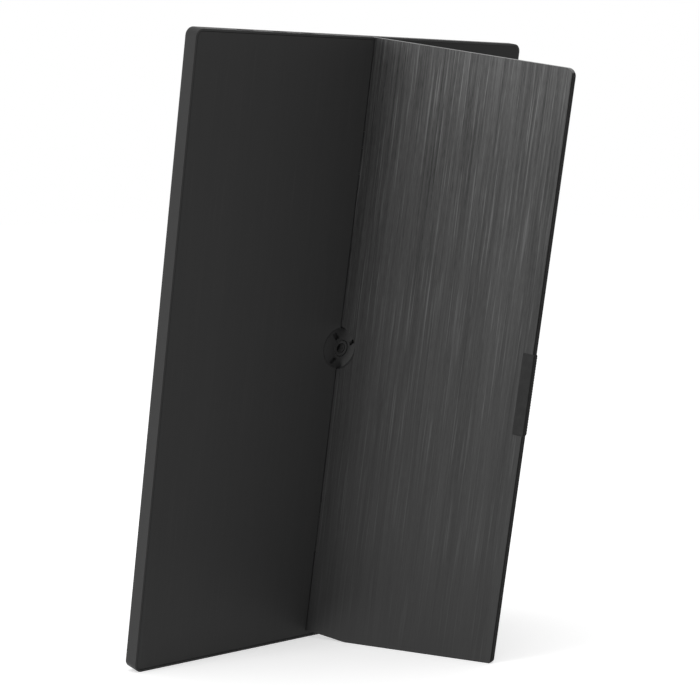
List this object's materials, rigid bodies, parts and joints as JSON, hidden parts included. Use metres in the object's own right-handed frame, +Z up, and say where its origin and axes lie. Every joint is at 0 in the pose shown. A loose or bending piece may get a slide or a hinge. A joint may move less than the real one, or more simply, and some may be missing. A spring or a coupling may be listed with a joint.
{
  "type": "portable monitor with hinged cover stand",
  "caption": "Slim portable monitor whose brushed rear cover swings open on a long-side hinge and stands it upright, with a tripod socket on the hinge line.",
  "frame": {"origin": "middle of the object's box at table level, as it stands upright on a short side with its cover open", "axes": "+Z up, +Y behind the screen towards the opened cover, screen face towards -Y, +X to the fixed half of the back"},
  "size_m": [0.2484, 0.185, 0.3562],
  "materials": {
    "frame_plastic": "fine moulded, satin",
    "shell_plastic": "fine moulded, matt",
    "brushed_back": "anodised black, faint brushed grain along the long side",
    "brushed_cover": "anodised dark grey, brushed grain along the long side",
    "cover_plastic": "fine moulded, matt",
    "boss_plastic": "satin",
    "black_tape": "matt",
    "screen_face": "anti-glare, switched off",
    "optical_film": "milky",
    "light_guide": "clear acrylic",
    "led_strip": "yellow phosphor",
    "tray_steel": "plated",
    "chassis_metal": "plain sheet",
    "circuit_board": "solder mask",
    "chip_black": "moulded",
    "socket_plastic": "nylon",
    "flex_cable": "polyimide film",
    "port_steel": "stamped",
    "light_pipe": "clear",
    "insert_steel": "turned, blackened",
    "hinge_steel": "stamped, blackened",
    "screw_steel": "zinc plated",
    "magnet_steel": "nickel plated",
    "foot_rubber": "matt",
    "grip_rubber": "matt",
    "key_plastic": "satin"
  },
  "bodies": {
    "screen": {"front_frame": "frame_plastic", "rear_cover": "shell_plastic", "back_skin": "brushed_back", "bezel_tape": "black_tape", "lcd_cell": "screen_face", "film_stack": "optical_film", "light_guide": "light_guide", "reflector_sheet": "optical_film", "led_bar": "led_strip", "panel_tray": "tray_steel", "bonding_strips": "black_tape", "driver_board": "circuit_board", "panel_flexes": "flex_cable", "chassis_plate": "chassis_metal", "main_board": "circuit_board", "board_chips": "chip_black", "board_sockets": "socket_plastic", "oval_port_a": "port_steel", "oval_port_b": "port_steel", "flat_port": "port_steel", "port_tongues": "chip_black", "display_cable": "flex_cable", "key_cable": "flex_cable", "key_board": "circuit_board", "key_switches": "port_steel", "status_light": "light_pipe", "tripod_boss": "boss_plastic", "tripod_insert": "insert_steel", "hinge_bracket_upper": "hinge_steel", "hinge_bracket_lower": "hinge_steel", "bracket_screws": "screw_steel", "chassis_screws": "screw_steel", "board_screws": "screw_steel", "cover_screws": "screw_steel", "key_screws": "screw_steel", "foot_strips": "foot_rubber"},
    "cover": {"flap_skin": "brushed_cover", "flap_frame": "cover_plastic", "flap_stiffener": "chassis_metal", "grip_pad": "grip_rubber", "flap_magnets": "magnet_steel", "hinge_leaf_upper": "hinge_steel", "hinge_leaf_lower": "hinge_steel", "hinge_pin_upper": "hinge_steel", "hinge_pin_lower": "hinge_steel", "friction_washers": "hinge_steel", "leaf_screws": "screw_steel"},
    "power_key": {"power_button": "key_plastic"},
    "menu_key": {"menu_button": "key_plastic"},
    "select_key": {"select_button": "key_plastic"}
  },
  "joints": [
    {"name": "cover_hinge", "type": "hinge", "parent": "screen", "child": "cover", "pos_m": [-0.0033, -0.05438, 0.17765], "axis": [0, -0.1719, -0.9851], "range_deg": [-72, 23]},
    {"name": "power_press", "type": "slide", "parent": "screen", "child": "power_key", "axis": [0, 0.9851, -0.1719], "range_m": [0, 0.0004], "stiffness_N_per_m": 2500},
    {"name": "menu_press", "type": "slide", "parent": "screen", "child": "menu_key", "axis": [0, 0.9851, -0.1719], "range_m": [0, 0.0004], "stiffness_N_per_m": 2500},
    {"name": "select_press", "type": "slide", "parent": "screen", "child": "select_key", "axis": [0, 0.9851, -0.1719], "range_m": [0, 0.0004], "stiffness_N_per_m": 2500}
  ]
}
